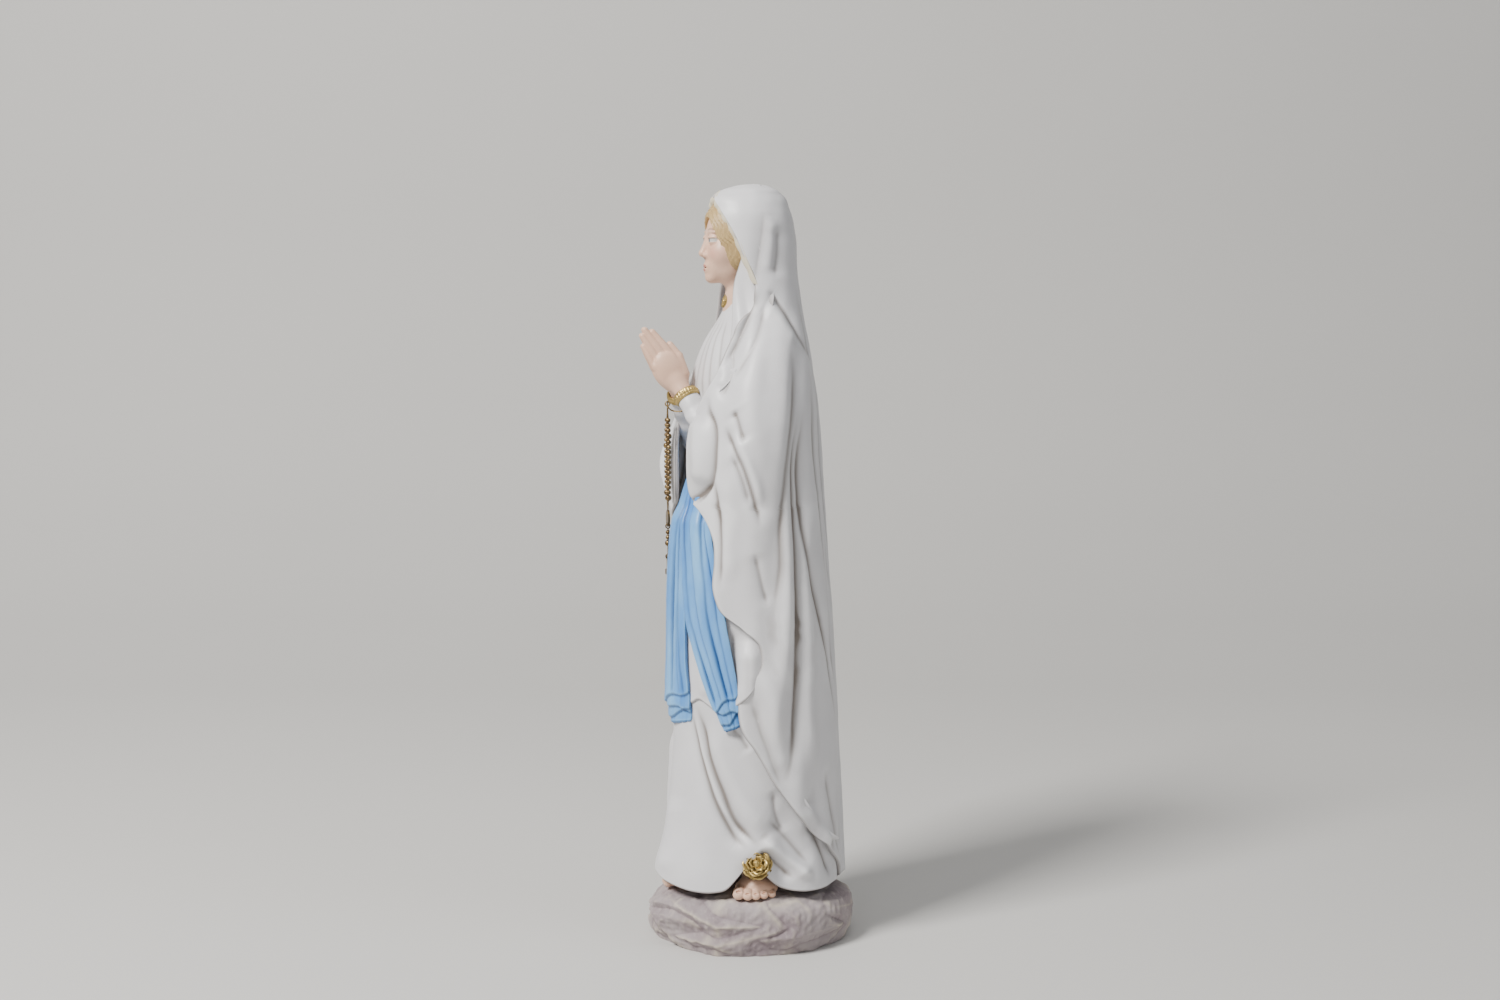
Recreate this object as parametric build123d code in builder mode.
"""Praying madonna figure, 300 mm tall, standing on a rock: painted cast resin with a metal rosary.

Frame: +Z up, the figure faces -Y, +X is the figure's left. The origin is the middle of the base's
underside. Lengths are millimetres.
"""
import os
from math import cos, pi, radians, sin

from build123d import *

# ---- driving dimensions ----
TOTAL_HEIGHT = 300.0
BASE_TOP = 22.0
OVERSKIRT_HEM = 100.0
WAIST_BOTTOM = 190.0
WAIST_TOP = 199.0
SASH_THICKNESS = 2.6
OVAL_POINTS = 16

# Ovals that the cloth is lofted through: (height, centre y, half width, half depth).
MANTLE_OVALS = [
    (BASE_TOP, 0.6, 34.5, 37.4),
    (60.0, 1.0, 35.0, 35.5),
    (100.0, 1.2, 36.0, 34.0),
    (140.0, 0.8, 37.5, 32.0),
    (175.0, 0.0, 39.5, 29.5),
    (200.0, -1.5, 40.0, 28.0),
    (224.0, -0.8, 36.0, 24.6),
    (241.0, 1.4, 28.5, 21.2),
    (254.0, 1.6, 21.0, 19.4),
    (268.0, 0.8, 18.2, 19.0),
    (282.0, 0.4, 17.2, 18.2),
    (291.0, -0.3, 14.6, 16.4),
    (297.0, -1.2, 9.8, 12.8),
    (TOTAL_HEIGHT, -1.8, 4.0, 6.0),
]
DRESS_OVALS = [
    (BASE_TOP, -0.5, 31.0, 36.5),
    (35.0, -0.4, 31.0, 35.8),
    (60.0, -0.2, 31.2, 33.0),
    (85.0, 0.1, 31.6, 31.3),
    (OVERSKIRT_HEM, 0.2, 32.0, 30.6),
]
OVERSKIRT_OVALS = [
    (OVERSKIRT_HEM, 0.3, 33.0, 32.0),
    (125.0, 0.2, 33.4, 31.0),
    (150.0, 0.0, 33.6, 28.8),
    (172.0, -0.6, 32.6, 25.8),
    (WAIST_BOTTOM, -1.0, 29.0, 20.4),
]
BODICE_OVALS = [
    (WAIST_TOP, -1.0, 26.0, 16.8),
    (213.0, -0.8, 27.0, 17.2),
    (228.0, 0.0, 27.0, 16.4),
    (240.0, 0.8, 21.5, 13.6),
    (249.0, 1.2, 12.5, 10.6),
    (256.0, 1.2, 8.6, 8.6),
]

# Arms: the same on both sides, the left one at +X.
ELBOW = (29.0, -10.0, 184.0)
CUFF = (6.8, -26.9, 217.6)
WRIST = (5.2, -28.4, 220.6)
SLEEVE_RADIUS_ELBOW = 6.6
SLEEVE_RADIUS_WRIST = 4.6
CUFF_RADIUS = 5.6
CUFF_LENGTH = 3.2
HAND_TILT = 53.0
HAND_LENGTH = 25.0
HAND_GAP = 0.15

# Head
HEAD_CENTRE = (0.0, -3.6, 279.3)
HEAD_HALF = (12.4, 14.6, 17.0)
NECK_RADIUS = 6.6
HAIR_THICKNESS = 1.7
LINING_THICKNESS = 1.5

# Rosary: the loop hangs from a chain wrapped round the right wrist.
ROSARY_PIVOT = (-10.94, -31.14, 213.66)
CHAIN_RADIUS = 0.25
RING_RADIUS = 0.9
LOOP_DROP = 43.0
LOOP_HALF_WIDTH = 2.8
BEAD_RADIUS = 0.95
LARGE_BEAD_RADIUS = 1.25
BEAD_GAP = 0.12
MEDAL_HALF = (2.6, 3.4)
MEDAL_THICKNESS = 0.8
EYE_RADIUS = 0.7
DROP_LENGTH = 14.0
CRUCIFIX_HEIGHT = 15.0
CRUCIFIX_WIDTH = 9.0


def oval(height, centre_y, half_width, half_depth):
    """One level oval sketch of the cloth."""
    with BuildSketch(Plane.XY.offset(height)) as level:
        with BuildLine():
            turns = [2 * pi * i / OVAL_POINTS for i in range(OVAL_POINTS)]
            points = [(half_width * cos(t), centre_y + half_depth * sin(t)) for t in turns]
            Spline(*points, periodic=True)
        make_face()
    return level.sketch


def oval_loft(ovals, grow=0.0, mode=Mode.ADD):
    """A smooth body through level ovals, each grown outwards by grow."""
    levels = [
        oval(height, centre_y, half_width + grow, half_depth + grow)
        for height, centre_y, half_width, half_depth in ovals
    ]
    loft(levels, mode=mode)


def ellipsoid(centre, half, mode=Mode.ADD):
    """A ball stretched to three half sizes."""
    ball = Solid.make_sphere(1.0, angle1=-90, angle2=90, angle3=360)
    stretch = Matrix([
        [half[0], 0, 0, centre[0]],
        [0, half[1], 0, centre[1]],
        [0, 0, half[2], centre[2]],
        [0, 0, 0, 1],
    ])
    add(ball.transform_geometry(stretch), mode=mode)


def keep(piece, name):
    """Name one finished piece and write it out."""
    piece.part.label = name
    export_step(piece.part, f"parts/{name}.step")


def facing(azimuth, height=0.0):
    """A vertical plane through the axis that faces the given azimuth; its x runs to the right."""
    turn = radians(azimuth)
    return Plane(
        origin=(0, 0, height),
        x_dir=(cos(turn), sin(turn), 0),
        z_dir=(sin(turn), -cos(turn), 0),
    )


def side_sign(side):
    return 1 if side == "left" else -1


def mirrored(point, side):
    return (side_sign(side) * point[0], point[1], point[2])


os.makedirs("parts", exist_ok=True)

# ---- rock base: a rough faceted boulder with a flat underside and an undercut edge ----
BASE_HALF = (37.2, 39.8)
ROCK_LEVELS = [(0.0, 0.90), (6.0, 0.98), (13.0, 1.0), (BASE_TOP - 3.0, 0.96), (BASE_TOP, 0.86)]
ROCK_CORNERS = 14
with BuildPart() as rock_base:
    for level, (height, scale) in enumerate(ROCK_LEVELS):
        with BuildSketch(Plane.XY.offset(height)):
            with BuildLine():
                corners = []
                for i in range(ROCK_CORNERS):
                    turn = 2 * pi * i / ROCK_CORNERS
                    rough = 1.0 - 0.025 * (1 + sin(5.0 * i + 2.0 * level))
                    corners.append((
                        BASE_HALF[0] * scale * rough * cos(turn),
                        BASE_HALF[1] * scale * rough * sin(turn),
                    ))
                Polyline(*corners, close=True)
            make_face()
    loft(ruled=True)
keep(rock_base, "rock_base")

# ---- feet: bare, on the rock, each with a gold rose on the instep ----
FEET = {
    # side: (toe tip, azimuth that the foot points to)
    "left": ((33.0, -5.0), 74.0),
    "right": ((-2.0, -36.0), -8.0),
}
FOOT_LENGTH = 20.0
FOOT_HALF_WIDTH = 7.2
TOE_HEIGHT = 4.0
INSTEP_HEIGHT = 10.0
ROSE_RADIUS = 5.4
ROSE_SETBACK = 6.0
ROSE_STAND = 5.4


def foot_plane(side, back):
    """A plane across the foot, back mm behind the toe tip, its z pointing to the toes."""
    (x, y), azimuth = FEET[side]
    turn = radians(azimuth)
    ahead = (sin(turn), -cos(turn), 0)
    return Plane(
        origin=(x - back * ahead[0], y - back * ahead[1], BASE_TOP),
        x_dir=(cos(turn), sin(turn), 0),
        z_dir=ahead,
    )


def foot_solid(side, grow=0.0, mode=Mode.ADD):
    """The fore part of a foot: a low wedge from the instep to the toes, rounded across."""
    slices = []
    for back, half_width, height in (
        (FOOT_LENGTH, FOOT_HALF_WIDTH - 1.5, INSTEP_HEIGHT + 1.0),
        (FOOT_LENGTH / 2, FOOT_HALF_WIDTH - 0.3, INSTEP_HEIGHT - 1.0),
        (3.0, FOOT_HALF_WIDTH, TOE_HEIGHT + 0.5),
        (0.0, FOOT_HALF_WIDTH - 1.6, TOE_HEIGHT - 1.0),
    ):
        with BuildSketch(foot_plane(side, back)) as across:
            with BuildLine():
                wide = half_width + grow
                tall = height + grow
                Polyline((-wide, 0), (wide, 0), (wide, 0.35 * tall))
                ThreePointArc((wide, 0.35 * tall), (0, tall), (-wide, 0.35 * tall))
                Line((-wide, 0.35 * tall), (-wide, 0))
            make_face()
        slices.append(across.sketch)
    loft(slices, ruled=True, mode=mode)


def rose_centre(side):
    """The middle of the rose, on the instep behind the toes."""
    (x, y), azimuth = FEET[side]
    turn = radians(azimuth)
    return (
        x - ROSE_SETBACK * sin(turn),
        y + ROSE_SETBACK * cos(turn),
        BASE_TOP + ROSE_STAND + ROSE_RADIUS,
    )


def rose_solid(side):
    """An open rose: a ring of petal lobes round a domed heart."""
    x, y, z = rose_centre(side)
    with BuildSketch(Plane.XY.offset(z - ROSE_RADIUS)) as petals:
        with Locations((x, y)):
            Circle(0.6 * ROSE_RADIUS)
            with PolarLocations(0.55 * ROSE_RADIUS, 5):
                Circle(0.45 * ROSE_RADIUS)
    extrude(petals.sketch, amount=ROSE_RADIUS)
    with Locations((x, y, z)):
        Sphere(0.66 * ROSE_RADIUS)


feet = {}
roses = {}
for foot_side in FEET:
    with BuildPart() as foot:
        foot_solid(foot_side)
    feet[foot_side] = foot
    keep(foot, f"{foot_side}_foot")
    with BuildPart() as rose:
        rose_solid(foot_side)
        add(foot.part, mode=Mode.SUBTRACT)
    roses[foot_side] = rose
    keep(rose, f"{foot_side}_foot_rose")

# ---- dress: the long under dress, open over each foot, and the overskirt above it ----
with BuildPart() as under_dress:
    oval_loft(DRESS_OVALS)
    for foot_side in FEET:
        foot_solid(foot_side, grow=0.4, mode=Mode.SUBTRACT)
        x, y, z = rose_centre(foot_side)
        with Locations((x, y, z - ROSE_RADIUS)):
            Cylinder(
                ROSE_RADIUS + 0.4, 2 * ROSE_RADIUS,
                align=(Align.CENTER, Align.CENTER, Align.MIN), mode=Mode.SUBTRACT,
            )
keep(under_dress, "under_dress")

with BuildPart() as overskirt:
    oval_loft(OVERSKIRT_OVALS)
keep(overskirt, "overskirt")

# ---- sash: a band round the waist and two tails that fall to the figure's left ----
with BuildPart() as bodice:
    extrude(oval(WAIST_BOTTOM, *BODICE_OVALS[0][1:]), amount=WAIST_TOP - WAIST_BOTTOM)
    oval_loft(BODICE_OVALS)

with BuildPart() as sash_waistband:
    _, waist_y, waist_half_width, waist_half_depth = BODICE_OVALS[0]
    band_oval = oval(WAIST_BOTTOM, waist_y, waist_half_width + 1.6, waist_half_depth + 1.6)
    extrude(band_oval, amount=WAIST_TOP - WAIST_BOTTOM)
    add(bodice.part, mode=Mode.SUBTRACT)
keep(sash_waistband, "sash_waistband")

SASH_AZIMUTH = 38.0
SASH_LOW_OVAL = (80.0, 0.0, 32.6, 31.6)
# Outlines seen square on from the sash's azimuth: (to the right, height).
SASH_TAILS = {
    "sash_tail_right": [
        (-9.0, 188.0), (-15.5, 172.0), (-20.0, 150.0), (-21.0, 125.0), (-21.0, 90.0),
        (-18.0, 85.0), (-8.0, 87.0), (-5.5, 100.0), (-6.0, 121.0), (-7.5, 160.0), (-5.0, 188.0),
    ],
    "sash_tail_left": [
        (-4.6, 188.0), (-7.1, 160.0), (-5.6, 121.0), (2.0, 103.0), (8.0, 86.0),
        (15.0, 84.0), (18.0, 93.0), (14.0, 112.0), (6.0, 137.0), (1.0, 160.0), (-2.0, 188.0),
    ],
}
sash_tails = {}
for tail_name, outline in SASH_TAILS.items():
    with BuildPart() as sash_tail:
        oval_loft([SASH_LOW_OVAL] + OVERSKIRT_OVALS[1:], grow=SASH_THICKNESS)
        with BuildSketch(facing(SASH_AZIMUTH)):
            with BuildLine():
                Polyline(*outline, close=True)
            make_face()
        extrude(amount=60.0, mode=Mode.INTERSECT)
        add(overskirt.part, mode=Mode.SUBTRACT)
        add(under_dress.part, mode=Mode.SUBTRACT)
    sash_tails[tail_name] = sash_tail
    keep(sash_tail, tail_name)

# ---- head, hair and the cream veil lining ----
CHIN_HEIGHT = HEAD_CENTRE[2] - HEAD_HALF[2]
with BuildPart() as head:
    ellipsoid(HEAD_CENTRE, HEAD_HALF)
    with Locations((0, 0.6, BODICE_OVALS[-1][0])):
        Cylinder(
            NECK_RADIUS, CHIN_HEIGHT + 6.0 - BODICE_OVALS[-1][0],
            align=(Align.CENTER, Align.CENTER, Align.MIN),
        )
keep(head, "head")

with BuildPart() as collar_brooch:
    with Locations(Plane(origin=(0, -8.2, 254.5), x_dir=(1, 0, 0), z_dir=(0, -1, 0.25))):
        Cylinder(2.4, 3.0)
    add(bodice.part, mode=Mode.SUBTRACT)
    add(head.part, mode=Mode.SUBTRACT)
keep(collar_brooch, "collar_brooch")

BROW_HEIGHT = 288.0
with BuildPart() as hair:
    ellipsoid(HEAD_CENTRE, [h + HAIR_THICKNESS for h in HEAD_HALF])
    with BuildSketch(Plane.XZ):
        with BuildLine():
            Polyline(
                (-10.5, 262.0), (-10.5, 280.0), (0, 292.0), (10.5, 280.0), (10.5, 262.0),
                close=True,
            )
        make_face()
    extrude(amount=40.0, mode=Mode.SUBTRACT)
    with Locations((0, 0, 255.0)):
        Box(60, 60, 14.0, align=(Align.CENTER, Align.CENTER, Align.MIN), mode=Mode.SUBTRACT)
    add(head.part, mode=Mode.SUBTRACT)
keep(hair, "hair")

with BuildPart() as veil_lining:
    outer = HAIR_THICKNESS + LINING_THICKNESS
    ellipsoid(HEAD_CENTRE, [h + outer for h in HEAD_HALF])
    with Locations((0, -30.0, 278.0)):
        Box(60, 40.0, 60.0, mode=Mode.SUBTRACT)
    with Locations((0, 0, 250.0)):
        Box(60, 60, 19.0, align=(Align.CENTER, Align.CENTER, Align.MIN), mode=Mode.SUBTRACT)
    add(hair.part, mode=Mode.SUBTRACT)
    add(head.part, mode=Mode.SUBTRACT)
keep(veil_lining, "veil_lining")

# The lappets are the veil's inner ends, folded down each side of the neck on to the chest.
LAPPET_OUTLINE = [(-9.0, 269.0), (-2.0, 269.0), (-4.0, 256.0), (-10.0, 246.0), (-14.5, 239.0), (-13.0, 250.0)]
lappets = {}
for lappet_side in ("left", "right"):
    with BuildPart() as lappet:
        with BuildSketch(Plane.YZ.offset(side_sign(lappet_side) * 7.6)):
            with BuildLine():
                Polyline(*LAPPET_OUTLINE, close=True)
            make_face()
        extrude(amount=side_sign(lappet_side) * 4.0)
        add(head.part, mode=Mode.SUBTRACT)
        add(hair.part, mode=Mode.SUBTRACT)
        add(veil_lining.part, mode=Mode.SUBTRACT)
        add(bodice.part, mode=Mode.SUBTRACT)
    lappets[lappet_side] = lappet
    keep(lappet, f"{lappet_side}_veil_lappet")

# ---- arms: tight sleeve, gold cuff and praying hand on each side ----


def arm_plane(side, start=ELBOW):
    """A plane across the forearm at start, its z pointing to the wrist."""
    origin = Vector(*mirrored(start, side))
    ahead = Vector(*mirrored(CUFF, side)) - Vector(*mirrored(ELBOW, side))
    return Plane(origin=origin, z_dir=ahead)


FOREARM_LENGTH = (Vector(*CUFF) - Vector(*ELBOW)).length


def hand_plane(along):
    """A plane across the joined hands, along mm from the wrist, its y running to the thumbs."""
    tilt = radians(HAND_TILT)
    ahead = Vector(0, -cos(tilt), sin(tilt))
    origin = Vector(0, WRIST[1], WRIST[2]) + ahead * along
    return Plane(origin=origin, x_dir=(1, 0, 0), z_dir=ahead)


# One hand, seen along the fingers: (along, inner x, outer x, half height, shift to the thumbs).
HAND_SECTIONS = [
    (0.0, 1.9, 8.3, 3.9, 0.0),
    (5.0, 0.6, 7.6, 4.9, 0.5),
    (10.0, HAND_GAP, 6.6, 6.4, 0.4),
    (16.0, HAND_GAP, 5.4, 5.2, -0.6),
    (HAND_LENGTH, HAND_GAP, 3.0, 2.4, -1.6),
]
sleeves = {}
cuffs = {}
hands = {}
for arm_side in ("left", "right"):
    sign = side_sign(arm_side)
    with BuildPart() as hand:
        for along, inner, outer, half_height, shift in HAND_SECTIONS:
            with BuildSketch(hand_plane(along)):
                with Locations((sign * (inner + outer) / 2, shift)):
                    RectangleRounded(outer - inner, 2 * half_height, 0.45 * (outer - inner))
        loft()
        with BuildSketch(arm_plane(arm_side, CUFF)):
            Circle(SLEEVE_RADIUS_WRIST - 1.2)
        extrude(amount=3.4)
        with Locations((-sign * 20.0 + sign * HAND_GAP, -30, 225)):
            Box(40, 60, 60, mode=Mode.SUBTRACT)
    hands[arm_side] = hand
    keep(hand, f"{arm_side}_hand")

    with BuildPart() as sleeve:
        with BuildSketch(arm_plane(arm_side)):
            Circle(SLEEVE_RADIUS_ELBOW)
        with BuildSketch(arm_plane(arm_side, CUFF)):
            Circle(SLEEVE_RADIUS_WRIST)
        loft()
        for neighbour in (hand, bodice, sash_waistband, overskirt):
            add(neighbour.part, mode=Mode.SUBTRACT)
    sleeves[arm_side] = sleeve
    keep(sleeve, f"{arm_side}_undersleeve")

    with BuildPart() as cuff:
        with BuildSketch(arm_plane(arm_side, CUFF).offset(-CUFF_LENGTH / 2)):
            Circle(CUFF_RADIUS)
        extrude(amount=CUFF_LENGTH)
        add(sleeve.part, mode=Mode.SUBTRACT)
        add(hand.part, mode=Mode.SUBTRACT)
    cuffs[arm_side] = cuff
    keep(cuff, f"{arm_side}_cuff_band")

# ---- mantle sleeves: the mantle's ends that hang from each forearm ----
SLEEVE_DRAPES = {
    # side: (front, corner and hem points as (y, height))
    "left": [(-20.0, 221.0), (-29.0, 206.0), (-29.0, 178.5), (-20.0, 182.0), (-18.0, 167.0), (-8.0, 167.0), (-6.0, 215.0)],
    "right": [(-20.0, 221.0), (-29.0, 206.0), (-35.0, 184.0), (-30.0, 171.0), (-22.0, 163.0), (-8.0, 163.0), (-6.0, 215.0)],
}
DRAPE_INNER = 15.0
DRAPE_OUTER = 31.0
drapes = {}
for drape_side, outline in SLEEVE_DRAPES.items():
    sign = side_sign(drape_side)
    with BuildPart() as drape:
        with BuildSketch(Plane.YZ.offset(sign * DRAPE_INNER)):
            with BuildLine():
                Polyline(*outline, close=True)
            make_face()
        extrude(amount=sign * (DRAPE_OUTER - DRAPE_INNER))
        for neighbour in (sleeves[drape_side], cuffs[drape_side], bodice, sash_waistband, overskirt):
            add(neighbour.part, mode=Mode.SUBTRACT)
        for tail in sash_tails.values():
            add(tail.part, mode=Mode.SUBTRACT)
    drapes[drape_side] = drape
    keep(drape, f"{drape_side}_mantle_sleeve")

keep(bodice, "bodice")

# ---- mantle: one cloth from the crown of the head to the ground, open down the front ----
# The opening, seen square on from the front: (x, height).
MANTLE_OPENING = [
    (-10.0, 272.0), (-12.5, 283.0), (-8.0, 295.0), (0.0, 298.0), (8.0, 295.0), (12.5, 283.0),
    (10.0, 272.0), (10.5, 258.0), (14.0, 240.0), (20.0, 224.0), (28.0, 210.0), (30.0, 182.0),
    (27.5, 165.0), (27.0, 135.0), (31.0, 112.0), (32.0, 92.0), (33.5, 70.0), (36.5, 44.0),
    (40.0, 30.0), (40.0, 10.0), (-40.0, 10.0), (-40.0, 30.0), (-36.5, 44.0), (-33.5, 70.0),
    (-32.0, 92.0), (-31.0, 112.0), (-27.0, 135.0), (-27.5, 165.0), (-30.0, 182.0),
    (-28.0, 210.0), (-20.0, 224.0), (-14.0, 240.0), (-10.5, 258.0),
]
OPENING_DEPTH = 3.0
with BuildPart() as mantle:
    oval_loft(MANTLE_OVALS)
    with BuildSketch(Plane.XZ.offset(-OPENING_DEPTH)):
        with BuildLine():
            Polyline(*MANTLE_OPENING, close=True)
        make_face()
    extrude(amount=60.0, mode=Mode.SUBTRACT)
    for inner_piece in (under_dress, overskirt, bodice, sash_waistband, head, hair, veil_lining):
        add(inner_piece.part, mode=Mode.SUBTRACT)
    for pair in (feet, roses, lappets, sleeves, drapes, sash_tails):
        for inner_piece in pair.values():
            add(inner_piece.part, mode=Mode.SUBTRACT)
keep(mantle, "mantle")

# ---- rosary ----
PIVOT_X, PIVOT_Y, PIVOT_Z = ROSARY_PIVOT
LOOP_BOTTOM = PIVOT_Z - LOOP_DROP
MEDAL_CENTRE = LOOP_BOTTOM - MEDAL_HALF[1] + 0.6
MEDAL_EYE = MEDAL_CENTRE - 2.2
CRUCIFIX_EYE = MEDAL_EYE - DROP_LENGTH


def chain_ring(height, mode=Mode.ADD):
    """A round link standing across the hinge axis."""
    with Locations(Plane(origin=(PIVOT_X, PIVOT_Y, height), z_dir=(1, 0, 0))):
        Torus(RING_RADIUS, CHAIN_RADIUS, mode=mode)


def strand_arc(sign):
    """The curved line of one side of the loop."""
    top = (PIVOT_X, PIVOT_Y, PIVOT_Z - RING_RADIUS)
    middle = (
        PIVOT_X + sign * LOOP_HALF_WIDTH, PIVOT_Y, PIVOT_Z - (RING_RADIUS + LOOP_DROP) / 2,
    )
    bottom = (PIVOT_X, PIVOT_Y, LOOP_BOTTOM)
    return Edge.make_three_point_arc(Vector(*top), Vector(*middle), Vector(*bottom))


with BuildPart() as rosary_loop_chain:
    for sign in (1, -1):
        arc = strand_arc(sign)
        with BuildSketch(Plane(origin=arc @ 0, z_dir=arc % 0)):
            Circle(CHAIN_RADIUS)
        sweep(path=arc)
    chain_ring(PIVOT_Z)
keep(rosary_loop_chain, "rosary_loop_chain")

# Where the large beads sit on each side, counted from the top bead.
LARGE_BEADS = {1: (3, 15), -1: (5, 14)}
BEADS_PER_SIDE = 16
BEAD_START = 0.135


def bead_places(sign):
    """(point on the chain, radius) of each bead of one side, nearly touching the next."""
    arc = strand_arc(sign)
    travelled = BEAD_START * arc.length
    last_radius = None
    for index in range(BEADS_PER_SIDE):
        radius = LARGE_BEAD_RADIUS if index in LARGE_BEADS[sign] else BEAD_RADIUS
        if last_radius is not None:
            travelled += last_radius + radius + BEAD_GAP
        last_radius = radius
        yield arc @ (travelled / arc.length), radius


def bead_group(wanted_radius):
    """All loop beads of one size, each bored for the chain."""
    with BuildPart() as group:
        for sign in (1, -1):
            for point, radius in bead_places(sign):
                if radius == wanted_radius:
                    with Locations(point):
                        Sphere(radius)
        add(rosary_loop_chain.part, mode=Mode.SUBTRACT)
    return group


decade_beads = bead_group(BEAD_RADIUS)
keep(decade_beads, "rosary_decade_beads")
large_beads = bead_group(LARGE_BEAD_RADIUS)
keep(large_beads, "rosary_large_beads")

with BuildPart() as rosary_medal:
    with BuildSketch(Plane.XZ.offset(-PIVOT_Y - MEDAL_THICKNESS / 2)):
        with Locations((PIVOT_X, MEDAL_CENTRE)):
            Ellipse(MEDAL_HALF[0], MEDAL_HALF[1])
        with Locations((PIVOT_X, MEDAL_EYE)):
            Circle(EYE_RADIUS, mode=Mode.SUBTRACT)
    extrude(amount=MEDAL_THICKNESS)
    add(rosary_loop_chain.part, mode=Mode.SUBTRACT)
keep(rosary_medal, "rosary_centre_medal")

with BuildPart() as rosary_drop_chain:
    chain_ring(MEDAL_EYE - RING_RADIUS)
    chain_ring(CRUCIFIX_EYE + RING_RADIUS)
    with Locations((PIVOT_X, PIVOT_Y, CRUCIFIX_EYE + 2 * RING_RADIUS)):
        Cylinder(
            CHAIN_RADIUS, DROP_LENGTH - 4 * RING_RADIUS,
            align=(Align.CENTER, Align.CENTER, Align.MIN),
        )
keep(rosary_drop_chain, "rosary_drop_chain")

DROP_BEAD_RADII = (BEAD_RADIUS, BEAD_RADIUS, LARGE_BEAD_RADIUS)
with BuildPart() as rosary_drop_beads:
    bead_height = MEDAL_EYE - 2 * RING_RADIUS - CHAIN_RADIUS - 0.4
    for radius in DROP_BEAD_RADII:
        bead_height -= radius
        with Locations((PIVOT_X, PIVOT_Y, bead_height)):
            Sphere(radius)
        bead_height -= radius + BEAD_GAP
    add(rosary_drop_chain.part, mode=Mode.SUBTRACT)
keep(rosary_drop_beads, "rosary_drop_beads")

CRUCIFIX_BAR = 2.0
CRUCIFIX_THICKNESS = 0.8
LUG_RADIUS = 1.35
with BuildPart() as crucifix:
    with BuildSketch(Plane.XZ.offset(-PIVOT_Y - CRUCIFIX_THICKNESS / 2)):
        with Locations((PIVOT_X, CRUCIFIX_EYE)):
            Circle(LUG_RADIUS)
        with Locations((PIVOT_X, CRUCIFIX_EYE - 0.9 - CRUCIFIX_HEIGHT / 2)):
            Rectangle(CRUCIFIX_BAR, CRUCIFIX_HEIGHT)
        with Locations((PIVOT_X, CRUCIFIX_EYE - 0.9 - 0.32 * CRUCIFIX_HEIGHT)):
            Rectangle(CRUCIFIX_WIDTH, CRUCIFIX_BAR)
        with Locations((PIVOT_X, CRUCIFIX_EYE)):
            Circle(EYE_RADIUS, mode=Mode.SUBTRACT)
    extrude(amount=CRUCIFIX_THICKNESS)
keep(crucifix, "rosary_crucifix")

# The wrap goes once round the right sleeve, loose, just behind the cuff; the loop's ring hangs on it.
WRAP_RADIUS = 0.3
WRAP_SETBACK = 3.5
wrap_plane = arm_plane("right", CUFF).offset(-WRAP_SETBACK)
wrap_reach = (Vector(*ROSARY_PIVOT) - wrap_plane.origin).length
with BuildPart() as wrist_wrap:
    with Locations(wrap_plane):
        Torus(wrap_reach, WRAP_RADIUS)
keep(wrist_wrap, "rosary_wrist_wrap")
